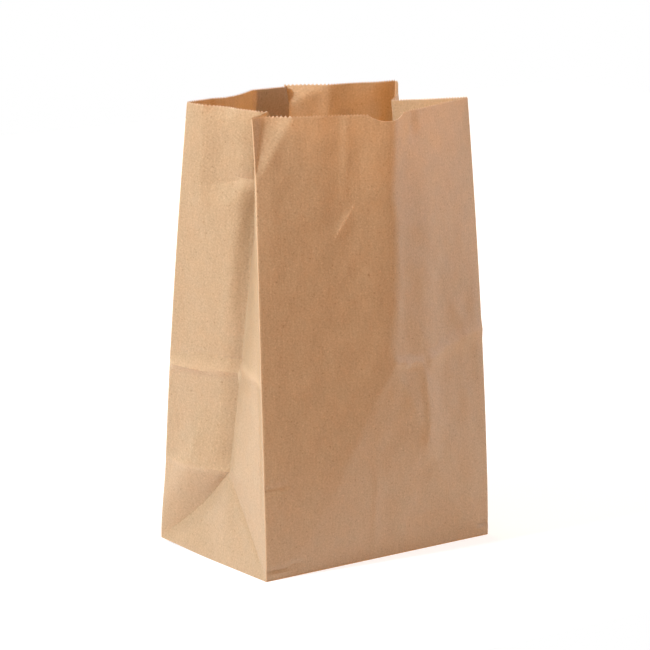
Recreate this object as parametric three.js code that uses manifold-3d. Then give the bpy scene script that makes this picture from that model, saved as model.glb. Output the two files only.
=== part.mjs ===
// Paper grocery bag, standing open. One sheet of kraft paper is rolled into a tube, lapped and
// glued up the middle of the rear panel, folded in at both sides and closed at the foot by flaps.
// The rim is pinked, and the front panel has a thumb cut.
// Millimetres, +Z up, front panel towards -Y. The origin is the middle of the base, on the
// surface that the bag stands on. A place on the sheet is given by how far it lies around the
// tube from the front left fold, and by its height up the paper from the base.
import * as THREE from 'three';
import { mergeVertices } from 'three/addons/utils/BufferGeometryUtils.js';
import Module from 'manifold-3d';

// The sheet
const PANEL_WIDTH = 209.6; // front and rear panels, from fold to fold
const SIDE_WIDTH = 134.9; // each side, folded in two along its middle
const BAG_HEIGHT = 339.7; // along an upright fold, from base to rim
const PAPER = 0.15; // one layer
const SEAM_WIDTH = 35.1; // lap of two layers up the middle of the rear panel
const SEAM_EDGE = 0.4; // width in which the paper steps up onto the lap

// The rim
const TOOTH_PITCH = 2.4;
const TOOTH_DEPTH = 1.2;
const THUMB_WIDTH = 30.5;
const THUMB_DEPTH = 4.3;

// The base
const FLAP_OVERLAP = 12; // how far the front flap reaches past the middle
const FLAP_GAP = 0.4; // from its cut edge to the rear flap
const TUCK_LENGTH = 80; // how far each side is tucked in over the base

// How far the top of each upright fold has drifted from above its foot, as [right, back]
const FRONT_LEFT_DRIFT = [-1.5, 11];
const FRONT_RIGHT_DRIFT = [-15, 12];
const REAR_LEFT_DRIFT = [14.5, -15.5];
const REAR_RIGHT_DRIFT = [4, -12];
const DRIFT_CURVE = 1.45; // power by which the drift grows up the fold, 1 for a straight fold

// How the opened sides and panels stand, bent by the crease left from packing the bag flat
const SIDE_SINK = 3; // how much the rim sinks at a side's middle crease
const SIDE_BOW = 4; // how far the rear half of each side stands out at the rim
const PACKING_CREASE = 147; // its height
const CREASE_RIDGE = 1.6; // how far it stands out on the sides
const CREASE_REACH = 36; // how far above and below it the sides bend
const FRONT_CREASE_BOW = 19; // front panel's middle, at the packing crease
const FRONT_RIM_BOW = 33; // front panel's middle, at the rim
const REAR_CREASE_BOW = 18; // the seam, at the packing crease
const REAR_RIM_BOW = 29; // the seam, at the rim
const LEFT_SHOULDER = { fromFold: 49, bow: 4 }; // bends of the rear rim beside the seam
const RIGHT_SHOULDER = { fromFold: 64, bow: 13 };

// The pinch at the top of the front left fold
const PINCH_WIDTH = 26; // along the rim
const PINCH_HEIGHT = 46; // down the fold
const PINCH_DEPTH = 3;

// How finely the sheet is divided
const PANEL_STEPS = 18;
const BESIDE_SEAM_STEPS = 8;
const HALF_SIDE_STEPS = 6;
const LOWER_STEPS = 4;
const UPPER_STEPS = 9;
const THUMB_STEPS = 12;
const RIM_BAND = 4; // between the last full row and the teeth
const SAME_POINT = 1e-4; // points closer than this are one point

// Colour of unbleached kraft paper
const KRAFT = 0xc39a6e;

const HALF_SIDE = SIDE_WIDTH / 2;
const AROUND = 2 * (PANEL_WIDTH + SIDE_WIDTH);
const RIGHT_SIDE_START = PANEL_WIDTH;
const REAR_START = RIGHT_SIDE_START + SIDE_WIDTH;
const LEFT_SIDE_START = REAR_START + PANEL_WIDTH;
const SEAM_START = REAR_START + (PANEL_WIDTH - SEAM_WIDTH) / 2;
const SEAM_END = SEAM_START + SEAM_WIDTH;
const THUMB_START = (PANEL_WIDTH - THUMB_WIDTH) / 2;
const THUMB_END = THUMB_START + THUMB_WIDTH;

const FOLDS = {
  frontLeft: { foot: [-PANEL_WIDTH / 2, -HALF_SIDE], drift: FRONT_LEFT_DRIFT },
  frontRight: { foot: [PANEL_WIDTH / 2, -HALF_SIDE], drift: FRONT_RIGHT_DRIFT },
  rearLeft: { foot: [-PANEL_WIDTH / 2, HALF_SIDE], drift: REAR_LEFT_DRIFT },
  rearRight: { foot: [PANEL_WIDTH / 2, HALF_SIDE], drift: REAR_RIGHT_DRIFT },
};

const wasm = await Module();
wasm.setup();

function spaced(from, to, steps) {
  return Array.from({ length: steps + 1 }, (_, i) => from + ((to - from) * i) / steps);
}

// A point at a height up one of the four upright folds
function foldPoint(fold, height) {
  const [x, y] = fold.foot;
  const [right, back] = fold.drift;
  const share = (height / BAG_HEIGHT) ** DRIFT_CURVE;
  const lean = Math.hypot(right, back) / BAG_HEIGHT;
  const rise = height * Math.sqrt(1 - lean * lean);
  return new THREE.Vector3(x + right * share, y + back * share, rise);
}

// Where a side's middle crease lies in plan: both halves keep their width, so the closer the
// upright folds stand, the deeper the side folds in.
function creasePlan(front, rear, height) {
  const a = foldPoint(front, height);
  const b = foldPoint(rear, height);
  const middle = new THREE.Vector2((a.x + b.x) / 2, (a.y + b.y) / 2);
  const chord = new THREE.Vector2(b.x - a.x, b.y - a.y);
  const depth = Math.sqrt(HALF_SIDE ** 2 - chord.lengthSq() / 4);
  const inward = new THREE.Vector2(chord.y, -chord.x).normalize();
  return middle.addScaledVector(inward, -Math.sign(middle.x) * Math.sign(inward.x) * depth);
}

// A point on a side's middle crease, which starts at the tip of the foot's triangle
function creasePoint(front, rear, height) {
  const plan = creasePlan(front, rear, height);
  const tip = creasePlan(front, rear, HALF_SIDE);
  const tipInset = tip.distanceTo(new THREE.Vector2(front.foot[0], 0));
  const tipRise = Math.sqrt(HALF_SIDE ** 2 - tipInset ** 2);
  const above = height - HALF_SIDE;
  const rise = Math.sqrt(Math.max(0, above ** 2 - plan.distanceToSquared(tip)));
  const sink = SIDE_SINK * (above / (BAG_HEIGHT - HALF_SIDE)) ** 2;
  return new THREE.Vector3(plan.x, plan.y, tipRise + rise - sink);
}

// How far a half side stands out between its fold and its crease
function halfSideBow(isFront, height) {
  const ridge = CREASE_RIDGE * Math.max(0, 1 - Math.abs(height - PACKING_CREASE) / CREASE_REACH);
  if (isFront || height < PACKING_CREASE) return ridge;
  return ridge + (SIDE_BOW * (height - PACKING_CREASE)) / (BAG_HEIGHT - PACKING_CREASE);
}

// A point on a side: on the flat triangle at its foot, beside that triangle, or above it
function sidePoint(front, rear, across, height) {
  const fromFront = across <= HALF_SIDE;
  const fold = fromFront ? front : rear;
  const inset = Math.max(0, fromFront ? across : SIDE_WIDTH - across);
  const foot = foldPoint(fold, 0);
  const tip = creasePoint(front, rear, HALF_SIDE);
  if (height <= inset) {
    const slope = tip.clone().sub(new THREE.Vector3(foot.x, 0, 0));
    const base = foldPoint(front, 0).lerp(foldPoint(rear, 0), across / SIDE_WIDTH);
    return base.addScaledVector(slope, height / HALF_SIDE);
  }
  const edge = foldPoint(fold, height);
  if (height < HALF_SIDE) {
    const sloping = foot.lerp(tip, height / HALF_SIDE);
    return edge.lerp(sloping, inset / height);
  }
  const crease = creasePoint(front, rear, height);
  const run = crease.clone().sub(edge);
  const out = new THREE.Vector3(run.y, -run.x, 0).normalize();
  const outward = Math.sign(out.x) * Math.sign(foot.x);
  const share = inset / HALF_SIDE;
  const bow = halfSideBow(fromFront, height) * Math.sin(Math.PI * share);
  return edge.lerp(crease, share).addScaledVector(out, outward * bow);
}

// A point on the front or rear panel, which stands out from the line between its two folds
function panelPoint(left, right, across, height, bow) {
  const a = foldPoint(left, height);
  const b = foldPoint(right, height);
  const out = new THREE.Vector3(b.y - a.y, a.x - b.x, 0).normalize();
  const point = a.lerp(b, across / PANEL_WIDTH).addScaledVector(out, bow);
  if (height > 0) point.z -= bow ** 2 / (2 * height);
  return point;
}

// How far a panel's middle stands out: from nothing at the base, bent at the packing crease
function middleBow(height, atCrease, atRim) {
  if (height < PACKING_CREASE) return (atCrease * height) / PACKING_CREASE;
  return THREE.MathUtils.mapLinear(height, PACKING_CREASE, BAG_HEIGHT, atCrease, atRim);
}

// Three facets: left and right of a ridge under the thumb cut, and one that leans out below
function frontBow(across, height) {
  const aside = Math.abs(across - PANEL_WIDTH / 2) / (PANEL_WIDTH / 2);
  const upper = THREE.MathUtils.mapLinear(
    height, PACKING_CREASE, BAG_HEIGHT, FRONT_CREASE_BOW, FRONT_RIM_BOW);
  const lower = (FRONT_CREASE_BOW * height) / PACKING_CREASE;
  return Math.min(upper * (1 - aside), lower);
}

// A shallow valley between the fold and a ridge that runs from the rim down to the pinch
function pinch(across, height) {
  const up = (height - (BAG_HEIGHT - PINCH_HEIGHT)) / PINCH_HEIGHT;
  const share = across / (PINCH_WIDTH * up);
  if (up <= 0 || share >= 1) return 0;
  return PINCH_DEPTH * up * Math.sin(Math.PI * share);
}

// The stiff seam stays flat, and the rear panel bends on both sides of it
function rearBow(fromLeft, height) {
  const middle = PANEL_WIDTH / 2;
  const bends = [
    [0, 0],
    [LEFT_SHOULDER.fromFold, LEFT_SHOULDER.bow],
    [middle - SEAM_WIDTH / 2, REAR_RIM_BOW],
    [middle + SEAM_WIDTH / 2, REAR_RIM_BOW],
    [PANEL_WIDTH - RIGHT_SHOULDER.fromFold, RIGHT_SHOULDER.bow],
    [PANEL_WIDTH, 0],
  ];
  const next = Math.max(1, bends.findIndex(([place]) => place >= fromLeft));
  const [x0, bow0] = bends[next - 1];
  const [x1, bow1] = bends[next];
  const atRim = THREE.MathUtils.mapLinear(fromLeft, x0, x1, bow0, bow1);
  return (atRim / REAR_RIM_BOW) * middleBow(height, REAR_CREASE_BOW, REAR_RIM_BOW);
}

function sheetPoint(around, height) {
  const { frontLeft, frontRight, rearLeft, rearRight } = FOLDS;
  if (around < RIGHT_SIDE_START) {
    const bow = frontBow(around, height) - pinch(around, height);
    return panelPoint(frontLeft, frontRight, around, height, bow);
  }
  if (around < REAR_START) {
    return sidePoint(frontRight, rearRight, around - RIGHT_SIDE_START, height);
  }
  if (around < LEFT_SIDE_START) {
    const across = around - REAR_START;
    return panelPoint(rearRight, rearLeft, across, height, rearBow(PANEL_WIDTH - across, height));
  }
  return sidePoint(frontLeft, rearLeft, AROUND - around, height);
}

// Height of the rim's cut line: the thumb cut is an arc of a circle
function rimHeight(around) {
  const aside = Math.abs(around - PANEL_WIDTH / 2);
  if (aside >= THUMB_WIDTH / 2) return BAG_HEIGHT;
  const radius = ((THUMB_WIDTH / 2) ** 2 + THUMB_DEPTH ** 2) / (2 * THUMB_DEPTH);
  return BAG_HEIGHT + radius - THUMB_DEPTH - Math.sqrt(radius ** 2 - aside ** 2);
}

// Columns of points around the tube, with one on every fold and on both edges of the seam
function columnPlaces() {
  const seamColumns = [SEAM_START, SEAM_START + SEAM_EDGE, SEAM_END - SEAM_EDGE, SEAM_END];
  return [
    ...spaced(0, RIGHT_SIDE_START, PANEL_STEPS),
    ...spaced(RIGHT_SIDE_START, REAR_START, 2 * HALF_SIDE_STEPS).slice(1),
    ...spaced(REAR_START, SEAM_START, BESIDE_SEAM_STEPS).slice(1, -1),
    ...seamColumns,
    ...spaced(SEAM_END, LEFT_SIDE_START, BESIDE_SEAM_STEPS).slice(1),
    ...spaced(LEFT_SIDE_START, AROUND, 2 * HALF_SIDE_STEPS).slice(1, -1),
  ];
}

// Rows of points up the sheet. Those beside the foot's triangles are as far apart as the columns
// of the sides, so that the triangles' sloping creases run from corner to corner.
function rowHeights() {
  const last = BAG_HEIGHT - THUMB_DEPTH - TOOTH_DEPTH - 2 * RIM_BAND;
  return [
    ...spaced(0, HALF_SIDE, HALF_SIDE_STEPS),
    ...spaced(HALF_SIDE, PACKING_CREASE, LOWER_STEPS).slice(1),
    ...spaced(PACKING_CREASE, last, UPPER_STEPS).slice(1),
  ];
}

// Points along the foot of the teeth and along the thumb cut, each with the tip of the tooth
// that follows it. Every stretch between folds has a whole number of teeth.
function rimPlaces() {
  const toothed = [
    [0, THUMB_START],
    [THUMB_END, RIGHT_SIDE_START],
    [RIGHT_SIDE_START, RIGHT_SIDE_START + HALF_SIDE],
    [RIGHT_SIDE_START + HALF_SIDE, REAR_START],
    [REAR_START, LEFT_SIDE_START],
    [LEFT_SIDE_START, LEFT_SIDE_START + HALF_SIDE],
    [LEFT_SIDE_START + HALF_SIDE, AROUND],
  ];
  const places = toothed.flatMap(([from, to]) => {
    const teeth = Math.round((to - from) / TOOTH_PITCH);
    const valleys = spaced(from, to, teeth);
    return valleys.slice(0, -1).map((around, i) => ({
      around,
      height: BAG_HEIGHT - TOOTH_DEPTH,
      tip: { around: (around + valleys[i + 1]) / 2, height: BAG_HEIGHT },
    }));
  });
  const cut = spaced(THUMB_START, THUMB_END, THUMB_STEPS).slice(0, -1);
  const cutPlaces = cut.map((around) => ({ around, height: rimHeight(around) - TOOTH_DEPTH }));
  return [...places, ...cutPlaces].sort((a, b) => a.around - b.around);
}

// Triangles between two rings of points, each a list of { around, id } in order
function joinRings(lower, upper, triangles) {
  const close = (ring) => [...ring, { ...ring[0], around: AROUND }];
  const low = close(lower);
  const high = close(upper);
  let i = 0;
  let k = 0;
  while (i < low.length - 1 || k < high.length - 1) {
    const nextLow = i < low.length - 1 ? low[i + 1].around : Infinity;
    const nextHigh = k < high.length - 1 ? high[k + 1].around : Infinity;
    if (nextLow <= nextHigh) {
      triangles.push([low[i].id, low[i + 1].id, high[k].id]);
      i += 1;
    } else {
      triangles.push([low[i].id, high[k + 1].id, high[k].id]);
      k += 1;
    }
  }
}

// The sheet as points and triangles, one skin thick
function makeSheet() {
  const points = [];
  const triangles = [];
  const add = (around, height) => {
    points.push({ around, height, position: sheetPoint(around, height) });
    return points.length - 1;
  };
  const columns = columnPlaces();
  const rows = rowHeights();
  const rings = rows.map((height) => columns.map((around) => ({ around, id: add(around, height) })));
  const topHeight = (around) => rimHeight(around) - TOOTH_DEPTH - RIM_BAND;
  rings.push(columns.map((around) => ({ around, id: add(around, topHeight(around)) })));
  for (let row = 0; row + 1 < rings.length; row += 1) {
    columns.forEach((around, column) => {
      const next = (column + 1) % columns.length;
      const a = rings[row][column].id;
      const b = rings[row][next].id;
      const c = rings[row + 1][next].id;
      const d = rings[row + 1][column].id;
      if (slopesUp(around)) triangles.push([a, b, c], [a, c, d]);
      else triangles.push([a, b, d], [b, c, d]);
    });
  }
  const rim = rimPlaces().map((place) => ({ ...place, id: add(place.around, place.height) }));
  joinRings(rings.at(-1), rim, triangles);
  rim.forEach((place, i) => {
    if (!place.tip) return;
    const following = rim[(i + 1) % rim.length];
    triangles.push([place.id, following.id, add(place.tip.around, place.tip.height)]);
  });
  return { points, triangles };
}

// Whether the foot's sloping crease rises along the tube here, as it does on each side's first half
function slopesUp(around) {
  const inFirstHalf = (start) => around >= start && around < start + HALF_SIDE;
  return inFirstHalf(RIGHT_SIDE_START) || inFirstHalf(LEFT_SIDE_START);
}

// Normals of the sheet's points, each the mean of the triangles around it
function sheetNormals({ points, triangles }) {
  const normals = points.map(() => new THREE.Vector3());
  const face = new THREE.Triangle();
  const normal = new THREE.Vector3();
  for (const [a, b, c] of triangles) {
    face.set(points[a].position, points[b].position, points[c].position);
    face.getNormal(normal).multiplyScalar(face.getArea());
    [a, b, c].forEach((id) => normals[id].add(normal));
  }
  return normals.map((sum) => sum.normalize());
}

// Edges that belong to one triangle only: the rim and the foot
function openEdges(triangles) {
  const key = (a, b) => `${a},${b}`;
  const edges = triangles.flatMap(([a, b, c]) => [[a, b], [b, c], [c, a]]);
  const known = new Set(edges.map(([a, b]) => key(a, b)));
  return edges.filter(([a, b]) => !known.has(key(b, a)));
}

function layersAt(around) {
  return around > SEAM_START && around < SEAM_END ? 2 : 1;
}

// The sheet given its thickness: an outer and an inner skin, closed along the rim and the foot
function thicken(sheet) {
  const { points, triangles } = sheet;
  const normals = sheetNormals(sheet);
  const count = points.length;
  const skin = (side) => points.flatMap((point, id) => {
    const offset = (side * layersAt(point.around) * PAPER) / 2;
    const position = point.position.clone().addScaledVector(normals[id], offset);
    if (point.height === 0) position.z = 0;
    return position.toArray();
  });
  const outer = triangles.flat();
  const inner = triangles.flatMap(([a, b, c]) => [a + count, c + count, b + count]);
  const closing = openEdges(triangles).flatMap(([a, b]) => [
    b, a, a + count,
    b, a + count, b + count,
  ]);
  const geometry = new THREE.BufferGeometry();
  const positions = new Float32Array([...skin(1), ...skin(-1)]);
  geometry.setAttribute('position', new THREE.BufferAttribute(positions, 3));
  geometry.setIndex([...outer, ...inner, ...closing]);
  return geometry;
}

// A flat piece of paper on the base, one layer thick
function layer(corners, z) {
  const shape = new THREE.Shape(corners.map(([x, y]) => new THREE.Vector2(x, y)));
  return new THREE.ExtrudeGeometry(shape, { depth: PAPER, bevelEnabled: false }).translate(0, 0, z);
}

// The base from below: two flaps whose ends are folded at 45 degrees, and the floor that they cover
function baseLayers() {
  const x = PANEL_WIDTH / 2;
  const y = HALF_SIDE;
  const rearEdge = FLAP_OVERLAP + FLAP_GAP;
  const frontFlap = [
    [-x, -y],
    [x, -y],
    [x - y, 0],
    [x - y, FLAP_OVERLAP],
    [y - x, FLAP_OVERLAP],
    [y - x, 0],
  ];
  const rearFlap = [
    [x, y],
    [-x, y],
    [y - x - rearEdge, rearEdge],
    [x - y + rearEdge, rearEdge],
  ];
  const floor = [[-x, -y], [x, -y], [x, y], [-x, y]];
  const tucks = [-1, 1].map((side) => {
    const inner = side * (x - TUCK_LENGTH);
    const corners = [[side * x, -y], [side * x, y], [inner, y], [inner, -y]];
    return layer(corners, 2 * PAPER);
  });
  return [layer(frontFlap, 0), layer(rearFlap, 0), layer(floor, PAPER), ...tucks];
}

function solidFrom(geometry) {
  const bare = geometry.clone();
  bare.deleteAttribute('normal');
  bare.deleteAttribute('uv');
  const merged = mergeVertices(bare, SAME_POINT);
  return new wasm.Manifold(new wasm.Mesh({
    numProp: 3,
    vertProperties: merged.attributes.position.array,
    triVerts: new Uint32Array(merged.index.array),
  }));
}

function geometryFrom(solid) {
  const mesh = solid.getMesh();
  const geometry = new THREE.BufferGeometry();
  geometry.setAttribute('position', new THREE.BufferAttribute(mesh.vertProperties, 3));
  geometry.setIndex(new THREE.BufferAttribute(mesh.triVerts, 1));
  geometry.computeVertexNormals();
  return geometry;
}

function makeBag() {
  const walls = solidFrom(thicken(makeSheet()));
  const solid = baseLayers().reduce((sum, piece) => sum.add(solidFrom(piece)), walls);
  const material = new THREE.MeshStandardMaterial({
    color: KRAFT,
    roughness: 0.8,
    metalness: 0,
    flatShading: true,
  });
  const bag = new THREE.Mesh(geometryFrom(solid), material);
  bag.name = 'paper_bag';
  return bag;
}

const model = new THREE.Group();
model.add(makeBag());

export default model;
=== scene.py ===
"""Paper grocery bag, standing open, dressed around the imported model.

The bag is one sheet of kraft paper. A place on it is given in millimetres, as how far it lies across its
panel and how far up the paper from the base. The shape rule folds those places into space, creases and
dents are added to them as relief, and the result becomes one mesh in metres. The front panel faces -Y, and
the base stands on z = 0.
"""
import math
from collections import namedtuple

import bpy
import numpy as np
from mathutils import Matrix, Vector


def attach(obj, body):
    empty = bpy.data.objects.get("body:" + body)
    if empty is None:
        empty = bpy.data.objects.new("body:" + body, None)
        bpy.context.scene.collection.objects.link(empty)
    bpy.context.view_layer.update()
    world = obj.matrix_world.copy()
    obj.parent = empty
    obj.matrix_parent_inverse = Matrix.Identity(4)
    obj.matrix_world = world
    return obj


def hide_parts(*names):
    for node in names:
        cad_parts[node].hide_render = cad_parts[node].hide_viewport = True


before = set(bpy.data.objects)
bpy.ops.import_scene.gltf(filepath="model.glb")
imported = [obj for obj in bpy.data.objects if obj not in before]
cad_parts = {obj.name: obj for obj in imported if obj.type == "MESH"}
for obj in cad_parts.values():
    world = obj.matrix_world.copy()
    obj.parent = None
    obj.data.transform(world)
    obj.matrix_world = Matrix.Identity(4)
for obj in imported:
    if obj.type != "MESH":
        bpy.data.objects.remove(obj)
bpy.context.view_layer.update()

MM = 0.001
TINY = 1e-9  # keeps a divisor above zero, and lets places that match count as equal

# The sheet
PANEL_WIDTH = 209.6  # front and rear panels, from fold to fold
SIDE_WIDTH = 134.9  # each side, folded in two along its middle
BAG_HEIGHT = 339.7  # along an upright fold, from base to rim
PAPER = 0.15  # one layer
HALF_SIDE = SIDE_WIDTH / 2
MIDDLE = PANEL_WIDTH / 2

# The rim
TOOTH_PITCH = 2.4
TOOTH_DEPTH = 1.4
TRIANGLE_HEIGHT = 1.5  # of a triangle whose points lie on a circle of radius 1
TRIANGLE_WIDTH = math.sqrt(3)
WELD = 0.02  # how close points of the teeth and the rim become one
THUMB_PLACE = 102.5  # middle of the thumb cut, across the front panel
THUMB_WIDTH = 30.5
THUMB_DEPTH = 4.3
THUMB_BAND = 30  # how far below the rim the rows of the mesh bend to follow the thumb cut
CUT_EDGE = 0.6  # height of the narrow row under the rim that shows the cut edge
THUMB_PALENESS = 0.8  # how far the cut edge shows cream along the thumb cut
GAP_PALENESS = 0.3  # the same between two teeth
TIP_PALENESS = 0.75  # the same at the tip of a tooth

# The lap up the middle of the rear panel, and the base
SEAM_WIDTH = 35.1
LAP_EDGE = MIDDLE + SEAM_WIDTH / 2  # its right edge, from the left
FLOOR_HEIGHT = 1.5 * PAPER  # middle of the floor's paper, which lies on the flaps
FLAP_OVERLAP = 12  # how far the front flap reaches past the middle
FLAP_GAP = 0.4  # between the two flaps, and from them to the folds around the base
TUCK_LENGTH = 80
TUCK_SLANT = 30
LAYER_GAP = 0.03  # between two layers of paper

# Feet of the four upright folds, as (right, back)
FOLD_FEET = {
    "front left": (-MIDDLE, -HALF_SIDE),
    "front right": (MIDDLE, -HALF_SIDE),
    "rear left": (-MIDDLE, HALF_SIDE),
    "rear right": (MIDDLE, HALF_SIDE),
}
# How far the top of each fold has drifted from above its foot, as (right, back)
FOLD_DRIFTS = {
    "front left": (-1.5, 11),
    "front right": (-15, 12),
    "rear left": (14.5, -15.5),
    "rear right": (4, -12),
}
DRIFT_CURVE = 1.45  # power by which the drift grows up the fold
# How far the top of each fold sinks
FOLD_DROOPS = {"front left": 0.6, "front right": 0.5, "rear left": 1.2, "rear right": 0.8}
RIM_CURVE = 3  # power by which a droop or lift of the rim grows up the paper
FOLD_BOWS = {"front left": -1.2}  # how far a fold stands out to the right, halfway up
# How far the top of a side's middle crease is shifted, as (right, back, up), by the name of its front fold
CREASE_SHIFTS = {"front left": (-1.2, 0, 1), "front right": (3, 0, -2.4)}

# The rear left corner of the base, which stands a little off the floor
LIFTED_CORNER = (-MIDDLE, HALF_SIDE, 0)
CORNER_SHIFT = (-1.2, 2.5, 2.2)
CORNER_REACH = 65

# How the opened sides and panels stand, bent by the crease left from packing the bag flat
SIDE_SINK = 3  # how much the rim sinks at a side's middle crease
SIDE_BOW = 4  # how far the rear half of each side stands out at the rim
PACKING_CREASE = 147  # its height
CREASE_RIDGE = 1.6  # how far it stands out on the sides
CREASE_REACH = 36  # how far above and below it the sides bend
FRONT_CREASE_BOW = 19  # how far the front's ridge stands out at the packing crease
FRONT_RIM_BOW = 33  # the same at the rim
FRONT_RIDGE = 108  # where that upright ridge lies, across the panel
RIDGE_ROUNDING = 12  # over which it is rounded
LOWER_HOLLOW = 15  # how hollow the front is below the packing crease
LOWER_CURVE = 2.5  # power that moves this hollow up towards the crease
FACET_ROUNDING = 0.45  # depth that is rounded off where two facets of the front meet
LEAST_ROUNDING = 0.001  # the same at the base
FRONT_HOLD = 60  # over which the ridge's straying sets in below the rim, and that rounding above the base
LEAST_HEIGHT = 1  # taken for lower places too, where a panel's bow lowers its points
REAR_CREASE_BOW = 18  # how far the lap stands out at the packing crease
REAR_RIM_BOW = 29  # the same at the rim
# How far the rear panel stands out at the rim at each of its bends, by their place from the left
REAR_BENDS = {0: 0, 50: 4, 84: REAR_RIM_BOW, LAP_EDGE: REAR_RIM_BOW, 150: 13, PANEL_WIDTH: 0}
REAR_LIFT = 0.6  # how much higher the rear rim stands at the lap

# The triangle of the rear panel beside the lap that is bent back at the rim
BEND_DEPTH = 8.5
BEND_HEIGHT = 14.5
BEND_WIDTH = 30
BEND_BESIDE = 5  # how far it reaches onto the lap

# The pinch at the top of the front left fold
PINCH_WIDTH = 30
PINCH_HEIGHT = 46
PINCH_DEPTH = 7
PINCH_VALLEY = 0.45  # where its valley lies, as a share of its width
PINCH_FOLD = 0.45  # how far the fold goes back there, as a share of the pinch's depth
PINCH_CURVE = 1.8  # power by which the paper comes forward again from the valley

# The left side's wall behind the rear edge of the foot's triangle, which is sunk in below a ridge
POCKET_DEPTH = 11.5  # halfway up that edge
POCKET_BAND = 34  # over which the wall slopes in
POCKET_CURVE = 1.5  # power that hollows this slope
POCKET_RIDGE = 0.55  # share of the depth by which the wall stands out above the slope
RIDGE_REACH = 48  # over which this ridge fades upwards
POCKET_WALL = 12  # over which the triangle comes forward again

# Folds
FOLD_ROUND = 0.9  # width of the strip of mesh on each side of a fold
FOLD_EASE = 0.55  # share by which a fold is drawn in between those strips
SIDE_FOLD_HOLD = 5  # how far from its folds and its foot a side's creases reach their full depth
FOOT_ROLL = 0.9  # how far the front and rear panels roll under at the base
FOOT_ROLL_HEIGHT = 8
FOLD_WEAR_AND_HIGHLIGHT = 1.5  # how far the upright folds are painted pale at the rim: rubbed paper, and a painted highlight on the fold
LEAST_WEAR_AND_HIGHLIGHT = 0.35  # share of it that they have up to the next height
WEAR_AND_HIGHLIGHT_HEIGHT = 180

# Divisions of the mesh: a column for each tooth, and rows that match the columns beside the foot's triangles
CUT_COLUMNS = 14
FOOT_ROWS = round(HALF_SIDE / TOOTH_PITCH) + 1
LOWER_ROWS = 32
UPPER_ROWS = 76

# Paper that has been folded flat, opened and handled wanders off its rule, in bumps about a cell in size
Waver = namedtuple("Waver", "cell depth seed")
FLUTES = Waver((24, 170), 1.0, 11)
SAGS = Waver((75, 90), 1.3, 12)
CRINKLES = Waver((10, 14), 0.3, 13)
CREASE_WAVER = Waver((26, 26), 2.2, 17)  # how creases stray off a straight line
RIDGE_WAVER = Waver((60, 50), 4, 18)  # how the front's ridge strays
NOISE_CELLS = 64  # after which the bumps repeat
NOISE_START = 16  # the cell at the place (0, 0)
WALL_SHIFTS = {"front": 0, "right": 300, "rear": 600, "left": 900}  # so that no two walls wander alike
FOLD_STIFFNESS = 14  # how far from a fold the wandering reaches its full depth

# A crease stands out by rise along a line. It reaches some way left and right of that line, is painted
# pale, as worn paper and as a painted highlight, and takes a length to fade at its ends.
Crease = namedtuple("Crease", "start end rise left right wear fade", defaults=[8])
CREASE_CURVE = 1.3  # power that brings a crease to a point
STRAIGHT_REACH = 1  # reach up to which a crease stays straight
STRAY_REACH = 5  # reach from which it strays in full
SHARP_CREASE = Crease((60, 249), (75, 272), 0.9, 3, 8, 0.3)

FRONT_CREASES = [
    SHARP_CREASE,
    # Flutes above the packing crease
    Crease((68, 270), (71, 360), 0.9, 4, 12, 0, 30),
    Crease((148, 190), (146, 332), 0.4, 16, 12, 0, 45),
    # Ridges below it
    Crease((141, 152), (145, 66), 0.9, 14, 6, 0, 25),
    Crease((95, 84), (98, -6), 0.9, 10, 4, 0, 30),
    # The right part of the packing crease
    Crease((104, 152), (143, 148), 1.5, 7, 4, 0.1),
    Crease((141, 148), (216, 166), 1.2, 8, 12, 0.2),
    # Dents beside the left fold and at the two ends of the base
    Crease((-8, 68), (22, 68), -1.4, 4, 3, 0),
    Crease((190, 9), (218, 11), -1.6, 5, 3, 0, 14),
    Crease((-8, 7), (40, 10), -1.8, 4, 3, 0, 16),
    # Hollows in the rim, right of the thumb cut
    Crease((128, 312), (128, 362), -2.2, 12, 15, 0, 20),
    Crease((143, 325), (143, 352), -0.8, 3, 2, 0),
]
LEFT_SIDE_CREASES = [
    # The packing crease on the rear half, with a hollow above it
    Crease((60, 140), (142, 138), 2.7, 11, 5, 0.3),
    Crease((60, 151), (142, 149), -0.8, 5, 4, 0),
    # The crease level with the tip of the foot's triangle
    Crease((66, 67), (142, 66), 0.9, 5, 4, 0.2),
    # The packing crease on the front half
    Crease((-8, 147), (66, 147), 0.9, 6, 6, 0.4),
    # The dent below the rim, and its sharp bottom
    Crease((56, 289), (128, 280), -5.2, 46, 18, 0, 36),
    Crease((52, 290), (98, 285), -2.4, 8, 9, 0.3, 18),
    # The dip in the rim, and the ridge behind it
    Crease((92, 342), (119, 342), -5.0, 3, 12, 0, 8),
    Crease((66, 341), (118, 341), -3.6, 20, 20, 0, 24),
    Crease((112, 240), (118, 360), 2.6, 14, 22, 0, 40),
    # The valley along the front edge of the foot's triangle
    Crease((HALF_SIDE, HALF_SIDE), (0, 0), -0.9, 3, 16, 0, 20),
    # The valley behind the middle crease, deepest in its lower part, and the ridges behind that
    Crease((HALF_SIDE, 56), (HALF_SIDE, 352), -4.6, 1, 17, 0, 30),
    Crease((HALF_SIDE, 70), (HALF_SIDE, 190), -1.8, 1, 13, 0, 40),
    Crease((HALF_SIDE + 10, 150), (HALF_SIDE + 15, 312), 3.4, 15, 45, 0, 44),
    Crease((HALF_SIDE + 7, 262), (HALF_SIDE + 5, 364), 2.2, 6, 40, 0, 36),
]
RIGHT_SIDE_CREASES = [
    # The rear half, which stands out below the rim
    Crease((98, 318), (142, 318), 2.4, 20, 34, 0),
    # The packing crease on the two halves
    Crease((-8, 147), (66, 147), 0.9, 6, 6, 0.4),
    Crease((68, 147), (142, 147), 0.9, 6, 6, 0.4),
    # The crease level with the tip of the foot's triangle
    Crease((0, 67), (142, 67), 0.5, 5, 5, 0.2),
]
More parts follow.
